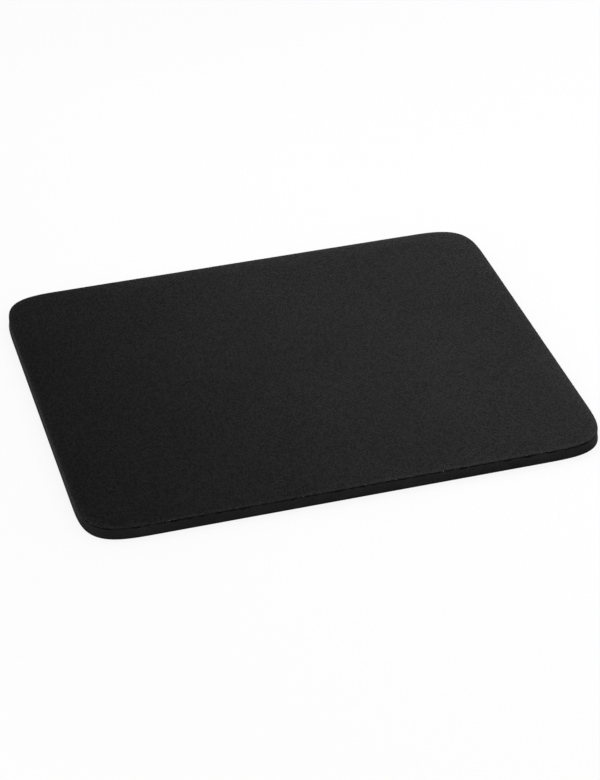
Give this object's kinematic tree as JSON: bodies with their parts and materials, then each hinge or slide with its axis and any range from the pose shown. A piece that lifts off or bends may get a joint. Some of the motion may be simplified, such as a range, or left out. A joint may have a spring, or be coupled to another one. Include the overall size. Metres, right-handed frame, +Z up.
{
  "type": "mouse pad",
  "caption": "Flat rectangular mouse pad with soft rounded corners: knitted cloth face on a foam core, with a textured rubber underside that grips the desk.",
  "frame": {"origin": "middle of the underside, where the pad lies on the desk", "axes": "+X to the user's right along the long side, +Y away from the user, +Z up out of the cloth"},
  "size_m": [0.23, 0.19, 0.0058],
  "materials": {
    "knitted_cloth": "matte",
    "hot_melt": "satin",
    "foam": "matte",
    "grip_rubber": "matte"
  },
  "bodies": {
    "root": {"cloth_top": "knitted_cloth", "upper_bond_film": "hot_melt", "foam_core": "foam", "lower_bond_film": "hot_melt", "grip_backing": "grip_rubber"}
  },
  "joints": []
}
